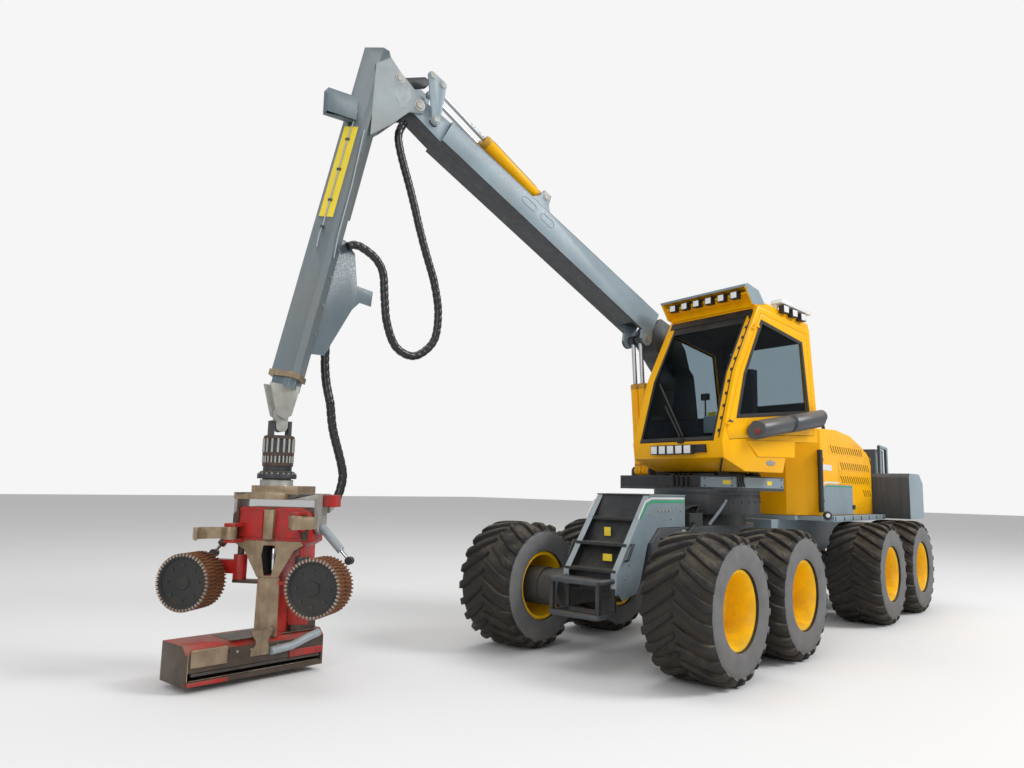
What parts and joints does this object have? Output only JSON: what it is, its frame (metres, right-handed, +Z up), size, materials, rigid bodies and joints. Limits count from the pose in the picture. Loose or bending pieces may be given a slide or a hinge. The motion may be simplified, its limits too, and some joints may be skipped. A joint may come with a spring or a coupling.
{
  "type": "forestry harvester",
  "caption": "Wheeled forestry harvester with articulated frame, slewing yellow cab, folding grey crane and a red felling and processing head.",
  "frame": {"origin": "on the ground in the machine's middle plane, under the front wheels' axle line", "axes": "+X forward along the machine, +Y to its left, +Z up"},
  "size_m": [10.4595, 3.8946, 6.3376],
  "materials": {
    "yellow_paint": "semi-gloss",
    "grey_paint": "semi-gloss",
    "dark_paint": "satin",
    "red_paint": "worn",
    "worn_steel": "worn",
    "chrome_rod": "polished",
    "tyre_rubber": "matte",
    "hose_rubber": "satin",
    "window_glass": "clear",
    "lamp_body": "matte",
    "seat_cloth": "woven",
    "cast_housing": "painted"
  },
  "bodies": {
    "front": {"front_frame": "grey_paint", "front_axle": "cast_housing", "front_step": "grey_paint"},
    "rear": {"rear_frame": "grey_paint", "rear_axle": "cast_housing", "engine": "cast_housing", "rear_box": "grey_paint"},
    "hood": {"hood": "yellow_paint", "hood_rails": "dark_paint"},
    "wheel_fl1": {"tyre_fl1": "tyre_rubber", "rim_fl1": "yellow_paint"},
    "wheel_fl2": {"tyre_fl2": "tyre_rubber", "rim_fl2": "yellow_paint"},
    "wheel_fr1": {"tyre_fr1": "tyre_rubber", "rim_fr1": "yellow_paint"},
    "wheel_fr2": {"tyre_fr2": "tyre_rubber", "rim_fr2": "yellow_paint"},
    "wheel_rl1": {"tyre_rl1": "tyre_rubber", "rim_rl1": "yellow_paint"},
    "wheel_rl2": {"tyre_rl2": "tyre_rubber", "rim_rl2": "yellow_paint"},
    "wheel_rr1": {"tyre_rr1": "tyre_rubber", "rim_rr1": "yellow_paint"},
    "wheel_rr2": {"tyre_rr2": "tyre_rubber", "rim_rr2": "yellow_paint"},
    "upper": {"turntable": "dark_paint", "cab_shell": "yellow_paint", "cab_roof": "yellow_paint", "cab_glass": "window_glass", "seat": "seat_cloth", "work_lamps": "lamp_body"},
    "door": {"cab_door": "yellow_paint", "door_glass": "window_glass"},
    "lift_barrel": {"lift_barrels": "yellow_paint"},
    "lift_rod": {"lift_rods": "chrome_rod"},
    "boom": {"boom": "grey_paint"},
    "stick_barrel": {"stick_barrels": "yellow_paint"},
    "stick_rod": {"stick_rods": "chrome_rod"},
    "link": {"link": "grey_paint"},
    "coupler": {"coupler": "cast_housing"},
    "stick": {"stick": "grey_paint", "hose_loop": "hose_rubber"},
    "extension": {"extension": "grey_paint"},
    "crosshead": {"crosshead": "cast_housing", "hose_drop": "hose_rubber"},
    "rotator": {"rotator": "cast_housing"},
    "tilt_frame": {"tilt_frame": "red_paint"},
    "head": {"head_body": "red_paint"},
    "feed_arm_left": {"feed_arm_left": "red_paint"},
    "feed_arm_right": {"feed_arm_right": "red_paint"},
    "feed_roller_left": {"feed_roller_left": "worn_steel"},
    "feed_roller_right": {"feed_roller_right": "worn_steel"},
    "knife_left": {"knife_left": "worn_steel"},
    "knife_right": {"knife_right": "worn_steel"},
    "saw": {"saw_bar": "worn_steel"}
  },
  "joints": [
    {"name": "steering", "type": "hinge", "parent": "front", "child": "rear", "pos_m": [-3.07, 0, 1.1], "axis": [0, 0, 1], "range_deg": [-40, 40]},
    {"name": "spin_fl1", "type": "hinge", "parent": "front", "child": "wheel_fl1", "pos_m": [0, 1.13, 0.67], "axis": [0, 1, 0], "continuous": true},
    {"name": "spin_fl2", "type": "hinge", "parent": "front", "child": "wheel_fl2", "pos_m": [-1.523, 1.13, 0.67], "axis": [0, 1, 0], "continuous": true},
    {"name": "spin_fr1", "type": "hinge", "parent": "front", "child": "wheel_fr1", "pos_m": [0, -1.13, 0.67], "axis": [0, 1, 0], "continuous": true},
    {"name": "spin_fr2", "type": "hinge", "parent": "front", "child": "wheel_fr2", "pos_m": [-1.523, -1.13, 0.67], "axis": [0, 1, 0], "continuous": true},
    {"name": "spin_rl1", "type": "hinge", "parent": "rear", "child": "wheel_rl1", "pos_m": [-4.625, 1.13, 0.67], "axis": [0, 1, 0], "continuous": true},
    {"name": "spin_rl2", "type": "hinge", "parent": "rear", "child": "wheel_rl2", "pos_m": [-6.148, 1.13, 0.67], "axis": [0, 1, 0], "continuous": true},
    {"name": "spin_rr1", "type": "hinge", "parent": "rear", "child": "wheel_rr1", "pos_m": [-4.625, -1.13, 0.67], "axis": [0, 1, 0], "continuous": true},
    {"name": "spin_rr2", "type": "hinge", "parent": "rear", "child": "wheel_rr2", "pos_m": [-6.148, -1.13, 0.67], "axis": [0, 1, 0], "continuous": true},
    {"name": "slew", "type": "hinge", "parent": "front", "child": "upper", "pos_m": [-2.2, 0, 1.7], "axis": [0, 0, 1], "range_deg": [-128, 152]},
    {"name": "door", "type": "hinge", "parent": "upper", "child": "door", "pos_m": [-1.23682, 0.73173, 2.29], "axis": [-0.3888, 0.0826, 0.9176], "range_deg": [-75, 0]},
    {"name": "hood_lid", "type": "hinge", "parent": "rear", "child": "hood", "pos_m": [-6.055, 0, 2.235], "axis": [0, -1, 0], "range_deg": [0, 45]},
    {"name": "lift", "type": "hinge", "parent": "upper", "child": "boom", "pos_m": [-2.7247, -0.73701, 3.25], "axis": [-0.2079, -0.9781, 0], "range_deg": [-38, 37]},
    {"name": "lift_barrel_swing", "type": "hinge", "parent": "upper", "child": "lift_barrel", "pos_m": [-2.13292, -0.8628, 1.96], "axis": [-0.2079, -0.9781, 0], "range_deg": [-15, 15]},
    {"name": "lift_rod_slide", "type": "slide", "parent": "lift_barrel", "child": "lift_rod", "axis": [0.0701, -0.0149, 0.9974], "range_m": [-0.5, 0.5]},
    {"name": "stick_swing", "type": "hinge", "parent": "boom", "child": "stick", "pos_m": [1.42787, -1.61967, 5.80819], "axis": [0.2079, 0.9781, 0], "range_deg": [-72, 10], "deforming": ["hose_loop"]},
    {"name": "stick_barrel_swing", "type": "hinge", "parent": "boom", "child": "stick_barrel", "pos_m": [-0.30672, -1.25097, 5.208], "axis": [0.2079, 0.9781, 0], "range_deg": [-12, 12]},
    {"name": "stick_rod_slide", "type": "slide", "parent": "stick_barrel", "child": "stick_rod", "axis": [0.837, -0.1779, 0.5175], "range_m": [-0.5, 0.5]},
    {"name": "link_swing", "type": "hinge", "parent": "boom", "child": "link", "pos_m": [1.23386, -1.57843, 5.697], "axis": [0.2079, 0.9781, 0], "range_deg": [-75, 60]},
    {"name": "coupler_swing", "type": "hinge", "parent": "stick", "child": "coupler", "pos_m": [1.67207, -1.67158, 6.035], "axis": [0.2079, 0.9781, 0], "range_deg": [-75, 75]},
    {"name": "extend", "type": "slide", "parent": "stick", "child": "extension", "axis": [-0.21, 0.0446, 0.9767], "range_m": [-1.5, 0]},
    {"name": "link_hang", "type": "hinge", "parent": "extension", "child": "crosshead", "pos_m": [2.66489, -1.88261, 2.375], "axis": [-0.2079, -0.9781, 0], "range_deg": [-80, 50], "deforming": ["hose_drop"]},
    {"name": "side_sway", "type": "hinge", "parent": "crosshead", "child": "rotator", "pos_m": [2.66489, -1.88261, 2.24], "axis": [-0.9781, 0.2079, 0], "range_deg": [-25, 25]},
    {"name": "rotate", "type": "hinge", "parent": "rotator", "child": "tilt_frame", "pos_m": [2.66489, -1.88261, 1.74], "axis": [0, 0, 1], "range_deg": [-160, 160]},
    {"name": "head_tilt", "type": "hinge", "parent": "tilt_frame", "child": "head", "pos_m": [2.64598, -1.81231, 1.4], "axis": [-0.515, 0.8572, 0], "range_deg": [-8, 90]},
    {"name": "feed_arm_left_swing", "type": "hinge", "parent": "head", "child": "feed_arm_left", "pos_m": [2.6029, -1.4882, 0.94], "axis": [0, 0, -1], "range_deg": [-12, 40]},
    {"name": "feed_arm_right_swing", "type": "hinge", "parent": "head", "child": "feed_arm_right", "pos_m": [2.91193, -2.0025, 0.94], "axis": [0, 0, 1], "range_deg": [-12, 40]},
    {"name": "feed_left_spin", "type": "hinge", "parent": "feed_arm_left", "child": "feed_roller_left", "pos_m": [2.55554, -1.16667, 0.84], "axis": [0.8572, 0.515, 0], "continuous": true},
    {"name": "feed_right_spin", "type": "hinge", "parent": "feed_arm_right", "child": "feed_roller_right", "pos_m": [3.17358, -2.19527, 0.84], "axis": [0.8572, 0.515, 0], "continuous": true},
    {"name": "knife_left_swing", "type": "hinge", "parent": "head", "child": "knife_left", "pos_m": [2.77434, -1.38519, 1.37], "axis": [0, 0, -1], "range_deg": [-20, 30]},
    {"name": "knife_right_swing", "type": "hinge", "parent": "head", "child": "knife_right", "pos_m": [3.08336, -1.89949, 1.26], "axis": [0, 0, 1], "range_deg": [-20, 30]},
    {"name": "saw_swing", "type": "hinge", "parent": "head", "child": "saw", "pos_m": [2.30384, -1.91761, 0.12], "axis": [0, 0, 1], "range_deg": [0, 80]}
  ],
  "couplings": [
    {"joint": "lift_barrel_swing", "follows": "lift", "ratio": 0.2708},
    {"joint": "lift_rod_slide", "follows": "lift", "m_per_rad": 0.68817},
    {"joint": "stick_barrel_swing", "follows": "stick_swing", "ratio": 0.009},
    {"joint": "stick_rod_slide", "follows": "stick_swing", "m_per_rad": 0.29318},
    {"joint": "link_swing", "follows": "stick_swing", "ratio": 0.7033},
    {"joint": "coupler_swing", "follows": "stick_swing", "ratio": -0.5477}
  ]
}
